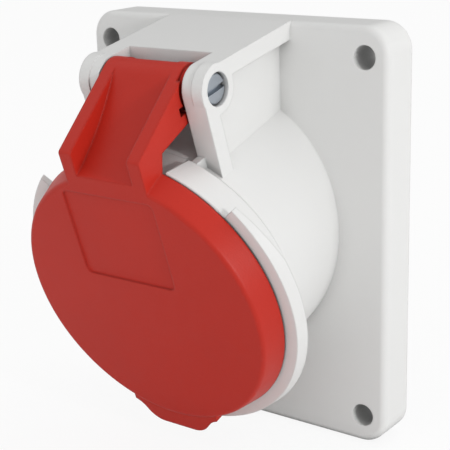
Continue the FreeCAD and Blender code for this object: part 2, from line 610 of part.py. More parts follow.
def make_lid():
    body = new_body("lid", SOCKET_FRAME)
    inner = "lid_face - lid_skin"
    seat = "lip_front + lid_seal_lift"
    cap = new_sketch(body, "XZ_Plane", "cap_side")
    draw_outline(cap, [("0", "lid_rim"), ("0", "lid_face"), ("lid_face_dia / 2", "lid_face"),
                       ("lid_rim_dia / 2", "lid_rim")])
    add_turn(body, cap)
    face = number("lid_face")
    add_round(body, "face_edge",
              lambda edge: all(near(spot.z, face) for spot in edge_spots(edge)), "lid_edge_round")
    arm = new_sketch(body, "YZ_Plane", "arm_side")
    draw_outline(arm, [
        ("arm_base_up", "lid_face"), ("arm_nose_up", "lid_face"), ("arm_touch_up", "arm_touch_out"),
        ("hinge_up", "hinge_out"), ("arm_under_up", "arm_under_out"), ("arm_rear_up", "arm_rear_out"),
        ("arm_foot_up", "lid_rim - arm_foot_drop"), ("arm_base_up", "lid_rim + arm_base_in")])
    add_pad(body, arm, "2 * arm_out", both_ways=True)
    front = new_sketch(body, "YZ_Plane", "saddle_front")
    draw_outline(front, [
        ("saddle_low_up", "lid_face + overrun"), ("saddle_low_up", "lid_face", "saddle_bow"),
        ("saddle_top_up", "saddle_top_out"), ("hinge_up", "hinge_out"),
        ("hinge_up + knuckle_dia", "hinge_out"), ("hinge_up + knuckle_dia", "lid_face + overrun")])
    add_pocket(body, front, "2 * arm_in", both_ways=True)
    knuckle = new_sketch(body, "YZ_Plane", "knuckle_end")
    draw_circle(knuckle, "hinge_up", "hinge_out", "knuckle_dia")
    add_pad(body, knuckle, "2 * arm_out", both_ways=True)
    nose = number("arm_nose_up")

    def is_nose(edge):
        return all(near(spot.y, nose) and near(spot.z, face) for spot in edge_spots(edge))

    add_round(body, "nose_round", is_nose, "arm_nose_round")
    tab = new_sketch(body, "XY_Plane", "tab_outline", "lid_rim + tab_inset")
    draw_outline(tab, [
        ("tab_root_half", "-tab_root"), ("tab_root_half", "-tab_shoulder", "tab_round"),
        ("tab_half", "-tab_side", "-tab_round"), ("tab_nose_half", "-tab_tip"),
        ("-tab_nose_half", "-tab_tip", "-tab_round"), ("-tab_half", "-tab_side", "tab_round"),
        ("-tab_root_half", "-tab_shoulder"), ("-tab_root_half", "-tab_root")])
    add_pad(body, tab, "lid_face - lid_rim - 2 * tab_inset")
    hollow = new_sketch(body, "XZ_Plane", "cap_hollow")
    below = "lid_rim - overrun"
    draw_outline(hollow, [
        ("0", below), ("lid_inside_dia / 2", below), ("lid_inside_dia / 2", inner),
        ("lid_seal_out_dia / 2", inner), ("lid_seal_out_dia / 2", seat + " + lid_seal_thick"),
        ("locator_out_dia / 2", seat + " + lid_seal_thick"), ("locator_out_dia / 2", seat),
        ("locator_in_dia / 2", seat), ("locator_in_dia / 2", inner), ("0", inner)])
    add_groove(body, hollow)
    behind = new_sketch(body, "YZ_Plane", "saddle_back")
    draw_outline(behind, [
        ("saddle_low_up - saddle_thick", below), ("saddle_low_up + saddle_back_in", below),
        ("saddle_back_up", "saddle_top_out"), ("hinge_up", "hinge_out - spring_room_back"),
        ("hinge_up + knuckle_dia", "hinge_out - spring_room_back"),
        ("hinge_up + knuckle_dia", "hinge_out - knuckle_dia"),
        ("saddle_low_up - saddle_thick", "hinge_out - knuckle_dia")])
    add_pocket(body, behind, "2 * spring_room_half", both_ways=True)
    room = new_sketch(body, "YZ_Plane", "spring_room")
    draw_circle(room, "hinge_up", "hinge_out", "spring_room_dia")
    add_pocket(body, room, "2 * spring_room_half", both_ways=True)
    pin_way = new_sketch(body, "YZ_Plane", "pin_way")
    draw_circle(pin_way, "hinge_up", "hinge_out", "pin_dia + 2 * pin_hole_gap")
    add_pocket(body, pin_way, "2 * arm_out + 2 * overrun", both_ways=True)
    hub = new_sketch(body, "YZ_Plane", "hub_groove", "arm_out - hub_step")
    draw_circle(hub, "hinge_up", "hinge_out", "hub_dia")
    draw_circle(hub, "hinge_up", "hinge_out", "hub_groove_dia")
    add_pocket(body, hub, "hub_step + overrun", backwards=True)
    notch = new_sketch(body, "YZ_Plane", "spring_notch", "arm_in - overrun")
    draw_rectangle(notch, "spring_notch_low", "spring_notch_low + spring_notch_tall",
                   "spring_notch_back", "spring_notch_back + spring_notch_deep")
    add_pocket(body, notch, "arm_out", backwards=True)
    label = new_sketch(body, "XY_Plane", "label_outline", "lid_face - label_deep")
    draw_rectangle(label, "label_shift - label_wide / 2", "label_shift + label_wide / 2",
                   "label_down", "label_up")
    add_pocket(body, label, "label_deep + overrun", backwards=True)
    floor = number("lid_face - label_deep")
    top = number("lid_face")

    def is_label_corner(edge):
        ends = sorted((edge_spots(edge)[0].z, edge_spots(edge)[2].z))
        return near(ends[0], floor) and near(ends[1], top)

    add_round(body, "label_corners", is_label_corner, "label_corner")
    return body


def make_ring(label, inside, outside, low, high, frame=SOCKET_FRAME):
    body = new_body(label, frame)
    side = new_sketch(body, "XZ_Plane", label + "_side")
    draw_rectangle(side, inside + " / 2", outside + " / 2", low, high)
    add_turn(body, side)
    return body


def make_hinge_pin():
    body = new_body("hinge_pin", HINGE_FRAME + moved("0", "0", "0", "pin_slot_turn"))
    side = new_sketch(body, "XZ_Plane", "pin_side")
    under = "ear_out - pin_sink_deep"
    top = under + " + pin_head_deep"
    draw_outline(side, [
        ("0", "-ear_out + pin_tail_in"), ("pin_dia / 2", "-ear_out + pin_tail_in"), ("pin_dia / 2", under),
        ("pin_head_dia / 2", under), ("pin_head_dia / 2", top + " - pin_head_edge"),
        ("pin_head_dia / 2 - pin_head_edge", top), ("0", top)])
    add_turn(body, side)
    slot = new_sketch(body, "XY_Plane", "pin_slot", top + " - pin_slot_deep")
    draw_rectangle(slot, "-pin_head_dia", "pin_head_dia", "-pin_slot_wide / 2", "pin_slot_wide / 2")
    add_pocket(body, slot, "pin_slot_deep + overrun", backwards=True)
    return body


def make_spring():
    """Left-hand torsion spring: one leg rests on the body, the other hooks the right arm."""
    start_frame = HINGE_FRAME + moved("0", "0", "0", "-spring_leg_turn")
    end_frame = HINGE_FRAME + moved("0", "0", "0", "hook_turn")
    body = new_body("spring_coil_form", start_frame)
    wire = new_sketch(body, "XZ_Plane", "spring_wire")
    draw_circle(wire, "spring_mean_dia / 2", "-spring_half", "spring_wire_dia")
    coil = body.newObject("PartDesign::AdditiveHelix", "spring_coil")
    coil.Profile = wire
    coil.ReferenceAxis = (wire, ["V_Axis"])
    coil.Mode = 1
    coil.LeftHanded = True
    coil.setExpression("Pitch", bound("spring_pitch"))
    coil.setExpression("Turns", bound("coil_turns"))
    document.recompute()
    back_leg = add_cylinder("spring_back_leg_form", "spring_wire_dia", "spring_back_leg",
                            start_frame + moved("spring_mean_dia / 2", "0", "-spring_half", "-90", "1;0;0"))
    front_leg = add_cylinder("spring_front_leg_form", "spring_wire_dia",
                             "spring_front_leg + spring_wire_dia / 2",
                             end_frame + moved("spring_mean_dia / 2", "0", "spring_half", "90", "1;0;0"))
    hook = add_cylinder("spring_hook_form", "spring_wire_dia",
                        "arm_in + hook_hold - spring_half + spring_wire_dia / 2",
                        SOCKET_FRAME + moved("spring_half - spring_wire_dia / 2", "hook_up", "hook_out",
                                             "90", "0;1;0"))
    return join_all("lid_spring", [body, back_leg, front_leg, hook])


# Contact carrier, terminal block and the five poles behind the mouth.

POLE_NAMES = ["earth", "line_1", "line_2", "line_3", "neutral"]
FIRST_TURNS = {"earth": "(-90)", "phase": "(-90 + 360 / pole_count)"}
FIRST_POLES = {pole: ("pole_pitch_dia / 2 * cos" + turn, "pole_pitch_dia / 2 * sin" + turn)
               for pole, turn in FIRST_TURNS.items()}


def make_carrier():
    body = new_body("contact_carrier", SOCKET_FRAME)
    side = new_sketch(body, "XZ_Plane", "carrier_side")
    draw_outline(side, [
        ("0", "carrier_back"), ("carrier_flange_dia / 2", "carrier_back"),
        ("carrier_flange_dia / 2", "ledge_back"), ("carrier_dia / 2", "ledge_back"),
        ("carrier_dia / 2", "carrier_front - carrier_edge"),
        ("carrier_dia / 2 - carrier_edge", "carrier_front"), ("0", "carrier_front")])
    add_turn(body, side)
    for pole, (across, along) in FIRST_POLES.items():
        room = pole + "_sleeve_dia + 2 * ring_thick + 2 * sleeve_room"
        steps = [("mouth", pole + "_pin_dia + 2 * mouth_play", "carrier_front - carrier_back + overrun"),
                 ("room", room, "sleeve_front + room_lead - carrier_back"),
                 ("seat", room + " + 2 * sleeve_shoulder", "shoulder_thick")]
        cuts = []
        for step, diameter, length in steps:
            hole = new_sketch(body, "XY_Plane", "%s_%s" % (pole, step), "carrier_back")
            draw_circle(hole, across, along, diameter)
            cuts.append(add_pocket(body, hole, length, backwards=True))
        if pole == "phase":
            add_pattern(body, cuts, "pole_count - 1", "360 - 2 * 360 / pole_count")
    front = number("carrier_front")
    widest = number("earth_pin_dia")

    def is_mouth(edge):
        return all(near(spot.z, front) for spot in edge_spots(edge)) and edge.Length < math.pi * 1.5 * widest

    add_lead(body, "mouth_leads", is_mouth, "mouth_lead")
    drill_screw_holes(body, "carrier_screw_holes", "carrier_back", "carrier_flange_thick + overrun")
    return body


def drill_screw_holes(body, name, start, length):
    """The two clear holes of the carrier screws."""
    holes = new_sketch(body, "XY_Plane", name, start)
    for sign in ("-", ""):
        draw_circle(holes, sign + "fix_screw_pitch / 2", "0", "fix_screw_dia + fix_hole_play")
    add_pocket(body, holes, length, backwards=True)


def make_terminal_block():
    body = new_body("terminal_block", SOCKET_FRAME)
    disc = new_sketch(body, "XY_Plane", "block_disc", "block_back")
    draw_circle(disc, "0", "0", "block_dia")
    add_pad(body, disc, "block_thick")
    fin = new_sketch(body, "XY_Plane", "block_fin", "fin_back")
    draw_rectangle(fin, "-fin_thick / 2", "fin_thick / 2", "fin_start", "block_dia / 2 - fin_thick / 2")
    wall = add_pad(body, fin, "block_back - fin_back + overrun")
    add_pattern(body, [wall], "pole_count", "360")
    for pole, (across, along) in FIRST_POLES.items():
        hole = new_sketch(body, "XY_Plane", pole + "_way", "block_back")
        draw_circle(hole, across, along, "shank_dia + 2 * block_gap")
        cut = add_pocket(body, hole, "block_thick + overrun", backwards=True)
        if pole == "phase":
            add_pattern(body, [cut], "pole_count - 1", "360 - 2 * 360 / pole_count")
    drill_screw_holes(body, "block_screw_holes", "block_back", "block_thick + overrun")
    return body


def make_fix_screws():
    """Two pan-head screws that hold block and carrier to the ledge."""
    screws = []
    for name, sign in (("left", "-"), ("right", "")):
        place = SOCKET_FRAME + moved(sign + "fix_screw_pitch / 2", "0", "block_back", "fix_slot_turn")
        head = add_cylinder("fix_head_" + name, "fix_head_dia", "fix_head_thick",
                            place + moved("0", "0", "-fix_head_thick"))
        shank = add_cylinder("fix_shank_" + name, "fix_screw_dia - fix_thread_bite", "fix_screw_long", place)
        whole = join_all("fix_screw_solid_" + name, [head, shank])
        slot = add_box("fix_slot_" + name, "2 * fix_head_dia", "fix_slot_wide", "fix_slot_deep + overrun",
                       place + moved("-fix_head_dia", "-fix_slot_wide / 2", "-fix_head_thick - overrun"))
        screws.append(cut_away("fix_screw_" + name, whole, slot))
    group = document.addObject("Part::Compound", "carrier_screws")
    group.Links = screws
    return group


def make_sleeve(index, pole):
    body = new_body("contact_%s" % POLE_NAMES[index], pole_frame(index))
    name = POLE_NAMES[index]
    bore = "%s_pin_dia / 2 + pin_play / 2" % pole
    outer = pole + "_sleeve_dia / 2"
    shoulder = outer + " + ring_thick + sleeve_room + sleeve_shoulder - shoulder_play"
    side = new_sketch(body, "XZ_Plane", name + "_side")
    draw_outline(side, [
        ("0", "shank_end"), ("shank_dia / 2", "shank_end"), ("shank_dia / 2", "carrier_back"),
        (shoulder, "carrier_back"), (shoulder, "carrier_back + shoulder_thick"),
        (outer, "carrier_back + shoulder_thick"),
        (outer, "sleeve_front"), (bore, "sleeve_front"), (bore, "sleeve_bore_back"),
        ("0", "sleeve_bore_back")])
    add_turn(body, side)
    slits = (("sleeve_slit_reach", "slit_wide"), ("slit_wide", "sleeve_slit_reach"))
    for turn, (wide, tall) in enumerate(slits):
        slit = new_sketch(body, "XY_Plane", "%s_slit_%d" % (name, turn), "slit_back")
        draw_rectangle(slit, "-%s / 2" % wide, wide + " / 2", "-%s / 2" % tall, tall + " / 2")
        add_pocket(body, slit, "slit_long + overrun", backwards=True)
    tongue = new_sketch(body, "XY_Plane", name + "_tongue", "shank_end - tongue_thick")
    draw_rectangle(tongue, "-tongue_in", "tongue_out", "-tongue_wide / 2", "tongue_wide / 2")
    add_pad(body, tongue, "tongue_thick")
    return body


def make_spring_ring(index, pole):
    name = "grip_ring_%s" % POLE_NAMES[index]
    body = new_body(name, pole_frame(index))
    side = new_sketch(body, "XZ_Plane", name + "_side")
    inner = pole + "_sleeve_dia / 2 + ring_play"
    draw_rectangle(side, inner, inner + " + ring_thick", "ring_front - ring_wide", "ring_front")
    add_turn(body, side, "ring_turn", centred=True)
    return body


def make_clamp(index):
    name = POLE_NAMES[index]
    body = new_body("clamp_" + name, pole_frame(index))
    block = new_sketch(body, "YZ_Plane", name + "_clamp", "clamp_in")
    draw_rectangle(block, "-clamp_wide / 2", "clamp_wide / 2", "clamp_back", "clamp_front")
    draw_rectangle(block, "-clamp_wide / 2 + clamp_wall", "clamp_wide / 2 - clamp_wall",
                   "clamp_back + clamp_floor", "clamp_front - clamp_wall")
    add_pad(body, block, "clamp_out - clamp_in")
    hole = new_sketch(body, "XY_Plane", name + "_clamp_thread", "clamp_back")
    draw_circle(hole, "clamp_mid", "0", "clamp_screw_dia + 2 * clamp_screw_gap")
    add_pocket(body, hole, "clamp_floor + overrun", backwards=True)
    return body


def make_clamp_screws():
    screws = []
    for index in range(len(POLE_NAMES)):
        name = POLE_NAMES[index]
        place = pole_frame(index) + moved("clamp_mid", "0", "clamp_head_back", "clamp_slot_turn")
        head = add_cylinder("clamp_head_" + name, "clamp_head_dia", "clamp_head_thick", place)
        shank = add_cylinder("clamp_shank_" + name, "clamp_screw_dia", "clamp_screw_tip - clamp_head_back",
                             place)
        whole = join_all("clamp_screw_solid_" + name, [head, shank])
        slot = add_box("clamp_slot_" + name, "2 * clamp_head_dia", "clamp_slot_wide",
                       "clamp_slot_deep + overrun",
                       place + moved("-clamp_head_dia", "-clamp_slot_wide / 2", "-overrun"))
        screws.append(cut_away("clamp_screw_" + name, whole, slot))
    group = document.addObject("Part::Compound", "terminal_screws")
    group.Links = screws
    return group


nodes = [
    make_housing(),
    make_lid(),
    make_hinge_pin(),
    make_spring(),
    make_ring("lid_seal", "(locator_out_dia + 2 * seal_gap)", "(lid_seal_out_dia - 2 * seal_gap)",
              "lip_front + lid_seal_lift", "lip_front + lid_seal_lift + lid_seal_thick"),
    make_ring("flange_seal", "seal_in_dia", "seal_out_dia", "0", "seal_thick",
              "placement(vector(0; 0; axis_back_height); rotation(vector(1;0;0); 90))"),
    make_carrier(),
    make_terminal_block(),
    make_fix_screws(),
    make_clamp_screws(),
]
for index, name in enumerate(POLE_NAMES):
    pole = "earth" if name == "earth" else "phase"
    nodes.append(make_sleeve(index, pole))
    nodes.append(make_spring_ring(index, pole))
    nodes.append(make_clamp(index))
document.recompute()

# Nothing is written unless every feature and every solid is sound.
for item in document.Objects:
    if "Invalid" in item.State or "Error" in item.State:
        raise ValueError(item.Label + " did not build: " + str(item.State))
for node in nodes:
    if node.Shape.isNull() or not node.Shape.isValid():
        raise ValueError(node.Label + " has no sound shape")

os.makedirs("parts", exist_ok=True)
for node in nodes:
    node.Shape.exportStep("parts/%s.step" % node.Label)
    box = node.Shape.BoundBox
    print(node.Label, len(node.Shape.Solids), round(node.Shape.Volume, 1), [
        round(value, 2) for value in (box.XMin, box.XMax, box.YMin, box.YMax, box.ZMin, box.ZMax)])
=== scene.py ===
import json
import math
import bmesh
import bpy
import numpy as np
from mathutils import Matrix, Vector


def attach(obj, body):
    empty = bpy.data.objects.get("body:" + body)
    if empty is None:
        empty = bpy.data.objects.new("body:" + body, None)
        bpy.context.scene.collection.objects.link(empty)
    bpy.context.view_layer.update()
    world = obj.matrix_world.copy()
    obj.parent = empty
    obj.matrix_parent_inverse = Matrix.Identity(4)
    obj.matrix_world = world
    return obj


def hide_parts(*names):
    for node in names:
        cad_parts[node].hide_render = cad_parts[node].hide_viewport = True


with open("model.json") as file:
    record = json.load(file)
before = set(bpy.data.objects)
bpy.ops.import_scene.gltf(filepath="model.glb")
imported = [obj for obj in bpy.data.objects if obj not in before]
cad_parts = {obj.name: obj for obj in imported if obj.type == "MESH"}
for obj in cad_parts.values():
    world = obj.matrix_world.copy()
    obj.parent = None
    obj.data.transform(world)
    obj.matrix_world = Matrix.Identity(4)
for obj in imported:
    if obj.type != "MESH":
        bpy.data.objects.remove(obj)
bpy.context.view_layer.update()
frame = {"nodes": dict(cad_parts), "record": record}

print("frame loaded:", len(frame["nodes"]), "nodes")

# One wire wraps a socket: sums, differences and products add Math nodes, and add() makes any other node.


class Wire:
    def __init__(self, tree, socket=None):
        self.tree = tree
        self.socket = socket

    def add(self, kind, settings=None, values=None):  # node type, settings set first, values or links
        made = self.tree.nodes.new(kind)
        for key, value in (settings or {}).items():
            setattr(made, key, value)
        for key, value in (values or {}).items():
            if isinstance(value, Wire):
                self.tree.links.new(value.socket, made.inputs[key])
            else:
                made.inputs[key].default_value = value
        return Wire(self.tree, made.outputs[0] if len(made.outputs) else None)

    def out(self, name):  # another output of the same node
        return Wire(self.tree, self.socket.node.outputs[name])

    def math(self, operation, first, second):
        return self.add("ShaderNodeMath", {"operation": operation}, {0: first, 1: second})

    def __add__(self, other):
        return self.math("ADD", self, other)

    def __radd__(self, other):
        return self.math("ADD", other, self)

    def __sub__(self, other):
        return self.math("SUBTRACT", self, other)

    def __rsub__(self, other):
        return self.math("SUBTRACT", other, self)

    def __mul__(self, other):
        return self.math("MULTIPLY", self, other)

    def __rmul__(self, other):
        return self.math("MULTIPLY", other, self)

    def blend(self, low, high):
        # Colours: low where this wire is 0, high where it is 1. Mix has them at 6 and 7, and at 2 out.
        return self.add("ShaderNodeMix", {"data_type": "RGBA", "clamp_factor": True},
                        {0: self, 6: low, 7: high}).out(2)


def newMaterial(name):  # a material whose node tree is empty, and a wire to start from
    material = bpy.data.materials.new(name)
    material.use_nodes = True
    material.node_tree.nodes.clear()
    return material, Wire(material.node_tree)


def noise(wire, place, scale, detail=2.0, rough=0.5):  # noise about 0.5, features 1 / scale metres wide
    return wire.add("ShaderNodeTexNoise", None,
                    {"Vector": place, "Scale": scale, "Detail": detail, "Roughness": rough})


def tinted(colour, factor):  # the colour made lighter or darker: each part * factor, at most 1
    return tuple(min(1.0, part * factor) for part in colour[:3]) + (1.0,)


def clouded(tone, look):  # colour * (1 - clouds) where the tone is 0, colour * (1 + clouds) where it is 1
    deep, pale = tinted(look["colour"], 1 - look["clouds"]), tinted(look["colour"], 1 + look["clouds"])
    return tone.blend(deep, pale)


def finishWith(wire, values, constants):  # a Principled shader and the output; constants go on its sockets
    shader = wire.add("ShaderNodeBsdfPrincipled", None, values)
    for key, value in constants.items():
        shader.socket.node.inputs[key].default_value = value
    wire.add("ShaderNodeOutputMaterial", None, {"Surface": shader})


# Moulded plastic and rubber: lengths in metres, scales per metre, and one shared table of grain, patch and
# painted shade settings for all of them.

mouldFinishAndShade = {"cloudShare": 0.6, "grainShare": 0.4, "patchWidth": 9, "patchHeight": 0.6, "shadeSlope": 2.1,
               "shadeStart": 0.12, "samples": 6}
# In each look, the last two values set the painted shade in the base colour: how far it reaches and how
# dark it goes.
housingLook = {"colour": (0.80, 0.80, 0.79, 1), "clouds": 0.018, "cloudScale": 38.0, "rough": 0.42,
               "roughSpread": 0.10, "grainScale": 2600.0, "grainDepth": 0.000012, "edge": 0.00045,
               "specular": 0.45, "shadeReach": 0.009, "dark": 0.28}
lidLook = {"colour": (0.54, 0.026, 0.014, 1), "clouds": 0.12, "cloudScale": 30.0, "rough": 0.40,
           "roughSpread": 0.10, "grainScale": 2300.0, "grainDepth": 0.00004, "edge": 0.0007,
           "specular": 0.25, "shadeReach": 0.008, "dark": 0.22}
carrierLook = {"colour": (0.035, 0.036, 0.040, 1), "clouds": 0.15, "cloudScale": 60.0, "rough": 0.48,
               "roughSpread": 0.14, "grainScale": 1900.0, "grainDepth": 0.00002, "edge": 0.0003,
               "specular": 0.4, "shadeReach": 0.004, "dark": 0.5}
rubberLook = {"colour": (0.022, 0.022, 0.024, 1), "clouds": 0.20, "cloudScale": 90.0, "rough": 0.72,
              "roughSpread": 0.12, "grainScale": 1500.0, "grainDepth": 0.00003, "edge": 0.0003,
              "specular": 0.3, "shadeReach": 0.003, "dark": 0.5}


def mouldedPlastic(name, look):
    # Colour: clouds and fine grain shift it by its clouds share, and a painted shade lowers it to its dark
    # share where a surface within the shade reach hides the light. Height: the grain plus wider patches,
    # which also vary the roughness. Normals are rounded over the edge radius.
    material, wire = newMaterial(name)
    place = wire.add("ShaderNodeTexCoord").out("Object")
    clouds = noise(wire, place, look["cloudScale"], detail=3.0, rough=0.55)
    grain = noise(wire, place, look["grainScale"], detail=3.0, rough=0.6)
    patches = noise(wire, place, look["grainScale"] / mouldFinishAndShade["patchWidth"])
    tone = clouds * mouldFinishAndShade["cloudShare"] + grain * mouldFinishAndShade["grainShare"]
    # Painted shade: ambient occlusion within the look's reach darkens the base colour towards its dark
    # share.
    unshaded = wire.add("ShaderNodeAmbientOcclusion", {"samples": mouldFinishAndShade["samples"]},
                    {"Distance": look["shadeReach"]}).out("AO")  # 1 where nothing is near
    unshaded = unshaded * mouldFinishAndShade["shadeSlope"] - mouldFinishAndShade["shadeStart"]
    colour = unshaded.blend(tinted(look["colour"], look["dark"]), clouded(tone, look))
    rough = look["rough"] + (patches - 0.5) * look["roughSpread"]
    edge = wire.add("ShaderNodeBevel", {"samples": mouldFinishAndShade["samples"]}, {"Radius": look["edge"]})
    height = grain + patches * mouldFinishAndShade["patchHeight"]
    bump = wire.add("ShaderNodeBump", None, {"Strength": 1.0, "Distance": look["grainDepth"],
                                             "Height": height, "Normal": edge})
    finishWith(wire, {"Base Color": colour, "Roughness": rough, "Normal": bump},
               {"Specular IOR Level": look["specular"]})
    return material


# Plated and drawn metal: metalFinish is shared, and a larger stretch means finer scratches along that axis.

metalFinish = {"scratchScale": 4.0, "cloudScale": 220.0, "scratchRough": 0.22, "cloudRough": 0.10,
               "scratchDepth": 0.000008, "edge": 0.00018, "samples": 6}
pinLook = {"colour": (0.46, 0.50, 0.55, 1), "rough": 0.34, "stretch": (60, 900, 900), "clouds": 0.10}
springLook = {"colour": (0.42, 0.43, 0.45, 1), "rough": 0.30, "stretch": (900, 900, 900), "clouds": 0.12}
contactLook = {"colour": (0.78, 0.66, 0.42, 1), "rough": 0.26, "stretch": (700, 160, 420), "clouds": 0.10}
clampLook = {"colour": (0.66, 0.66, 0.64, 1), "rough": 0.36, "stretch": (500, 140, 500), "clouds": 0.12}
screwLook = {"colour": (0.62, 0.61, 0.58, 1), "rough": 0.33, "stretch": (800, 800, 120), "clouds": 0.10}


def platedMetal(name, look):
    # Colour: cloudy plating shifts it by its clouds share. Roughness: its own value plus scratches and
    # clouds. Height: the scratches, which are noise stretched by the look.
    material, wire = newMaterial(name)
    place = wire.add("ShaderNodeTexCoord").out("Object")
    drawn = wire.add("ShaderNodeMapping", None, {"Vector": place, "Scale": look["stretch"]})
    scratches = noise(wire, drawn, metalFinish["scratchScale"], detail=4.0, rough=0.65)
    clouds = noise(wire, place, metalFinish["cloudScale"], detail=3.0)
    rough = look["rough"] + (scratches - 0.5) * metalFinish["scratchRough"]
    rough = rough + (clouds - 0.5) * metalFinish["cloudRough"]
    edge = wire.add("ShaderNodeBevel", {"samples": metalFinish["samples"]}, {"Radius": metalFinish["edge"]})
    bump = wire.add("ShaderNodeBump", None, {"Strength": 1.0, "Distance": metalFinish["scratchDepth"],
                                             "Height": scratches, "Normal": edge})
    finishWith(wire, {"Base Color": clouded(clouds, look), "Roughness": rough, "Normal": bump},
               {"Metallic": 1.0})
    return material


materials = {
    "housing": mouldedPlastic("lightGreyPlastic", housingLook),
    "lid": mouldedPlastic("redPlastic", lidLook),
    "carrier": mouldedPlastic("darkPlastic", carrierLook),
    "seal": mouldedPlastic("blackRubber", rubberLook),
    "pin": platedMetal("bluedSteel", pinLook),
    "spring_steel": platedMetal("springWire", springLook),
    "contact_brass": platedMetal("paleBrass", contactLook),
    "clamp_steel": platedMetal("zincPlate", clampLook),
    "screw_steel": platedMetal("zincScrew", screwLook),
}
slotOf = {row["node"]: row["material_slot"] for row in frame["record"]["subparts"]}
for nodeName, node in frame["nodes"].items():
    node.data.materials.clear()
    node.data.materials.append(materials[slotOf[nodeName]])
print("materials made:", len(materials))

# Surfaces: whole arrays in millimetres, in the frame of the tilted mouth or of the hinge.

mm = 0.001
socket = {"tilt": 18.0, "origin": (0.0, -10.8, 1.3), "hinge": (44.3, 14.9), "poleCircle": 16.5, "poles": 5}
cleaning = {"weld": 1e-6, "flat": 1e-7, "sharp": 38}  # metres, metres, degrees
tilt = math.radians(socket["tilt"])
socketAxes = np.array([(1, 0, 0), (0, -math.sin(tilt), math.cos(tilt)),
                       (0, -math.cos(tilt), -math.sin(tilt))])  # right, up, out of the mouth
socketOrigin = np.array(socket["origin"])
hingeCentre = socketOrigin + np.array((0, *socket["hinge"])) @ socketAxes
hingeAxes = np.array([(0, 0, -1), (0, 1, 0), (1, 0, 0)])  # down, back, along the pin to the right


def fromFrame(points, origin, axes):  # origin + x * axis 1 + y * axis 2 + z * axis 3
    return origin + points @ axes


def turnedAxes(axes, degrees):
    # A turn about axis 3, which stays: axis 1 * cos + axis 2 * sin, axis 2 * cos - axis 1 * sin.
    angle = math.radians(degrees)
    across = axes[0] * math.cos(angle) + axes[1] * math.sin(angle)
    along = axes[1] * math.cos(angle) - axes[0] * math.sin(angle)
    return np.array((across, along, axes[2]))


def gridFaces(rows, columns, wrapRows, wrapColumns, start):
    # Quads between neighbouring points: point number = start + row * columns + column.
    index = np.arange(rows * columns).reshape(rows, columns) + start
    if wrapRows:
        index = np.concatenate([index, index[:1]], axis=0)
    if wrapColumns:
        index = np.concatenate([index, index[:, :1]], axis=1)
    corners = [index[:-1, :-1], index[:-1, 1:], index[1:, 1:], index[1:, :-1]]
    return np.stack(corners, axis=-1).reshape(-1, 4)


def inScene(name, data):  # an object at the origin, with its place in its mesh
    thing = bpy.data.objects.new(name, data)
    bpy.context.scene.collection.objects.link(thing)
    return thing


def dressed(piece, nodeName, body):  # takes the node's place and material, and moves with the body
    piece.data.materials.clear()
    piece.data.materials.append(materials[slotOf[nodeName]])
    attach(piece, body)
    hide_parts(nodeName)


def newPiece(name, grids, nodeName, body):  # grids of points, welded where they meet, as one closed piece
    points, faces, start = [], [], 0
    for grid, wrapRows, wrapColumns in grids:
        rows, columns = grid.shape[:2]
        points.append(grid.reshape(-1, 3))
        faces.append(gridFaces(rows, columns, wrapRows, wrapColumns, start))
        start += rows * columns
    mesh = bpy.data.meshes.new(name)
    mesh.from_pydata((np.concatenate(points) * mm).tolist(), [], np.concatenate(faces).tolist())
    made = bmesh.new()
    made.from_mesh(mesh)
    bmesh.ops.remove_doubles(made, verts=made.verts, dist=cleaning["weld"])
    bmesh.ops.dissolve_degenerate(made, edges=made.edges, dist=cleaning["flat"])
    bmesh.ops.recalc_face_normals(made, faces=made.faces)
    made.to_mesh(mesh)
    made.free()
    mesh.shade_smooth()
    mesh.set_sharp_from_angle(angle=math.radians(cleaning["sharp"]))
    dressed(inScene(name, mesh), nodeName, body)


# Housing and lid: the maker's solid with every sharp edge rolled over, as a mould leaves it.

lidEdges = {"node": "lid", "width": 0.45, "segments": 3, "angle": 32.0}
housingEdges = {"node": "housing", "width": 0.28, "segments": 2, "angle": 32.0}
edgeCleaning = {"weld": 2e-6, "flat": 1e-6, "level": 0.3, "weight": 50}  # metres, metres, degrees, strength


def rolledEdges(name, look, body):
    # A copy of the node's mesh, its points welded and level faces merged. Each edge where two faces meet at
    # more than the angle is cut back by the width and bridged by an arc. Each point's normal is the mean of
    # its faces' normals, weighted by area, so that wide faces stay flat to the light.
    mesh = frame["nodes"][look["node"]].data.copy()
    made = bmesh.new()
    made.from_mesh(mesh)
    bmesh.ops.remove_doubles(made, verts=made.verts, dist=edgeCleaning["weld"])
    bmesh.ops.dissolve_degenerate(made, edges=made.edges, dist=edgeCleaning["flat"])
    bmesh.ops.dissolve_limit(made, angle_limit=math.radians(edgeCleaning["level"]),
                             verts=made.verts, edges=made.edges)
    made.to_mesh(mesh)
    made.free()
    mesh.shade_smooth()
    piece = inScene(name, mesh)
    roll = piece.modifiers.new("rolledEdge", "BEVEL")
    roll.width = look["width"] * mm
    roll.segments = look["segments"]
    roll.limit_method = "ANGLE"
    roll.angle_limit = math.radians(look["angle"])
    roll.use_clamp_overlap = True
    even = piece.modifiers.new("evenFaces", "WEIGHTED_NORMAL")
    even.mode = "FACE_AREA"
    even.weight = edgeCleaning["weight"]
    dressed(piece, look["node"], body)
    print(name, "faces", len(mesh.polygons))


rolledEdges("lidMoulding", lidEdges, "lid")
rolledEdges("housingMoulding", housingEdges, "frame")

# Lid spring: a round wire carried along a leg, the coil, a second leg and a hook.

springWire = {"wire": 0.9, "coil": 6.4, "turns": 4, "pitch": 2.6, "legTurn": 40.0, "bend": 1.0, "sides": 20,
              "hookAt": (41.25, 20.65), "hookEnd": 9.3, "barrel": 60.8, "gap": 0.3, "perTurn": 56,
              "legPoints": 12, "bendPoints": 10, "hookPoints": 6}


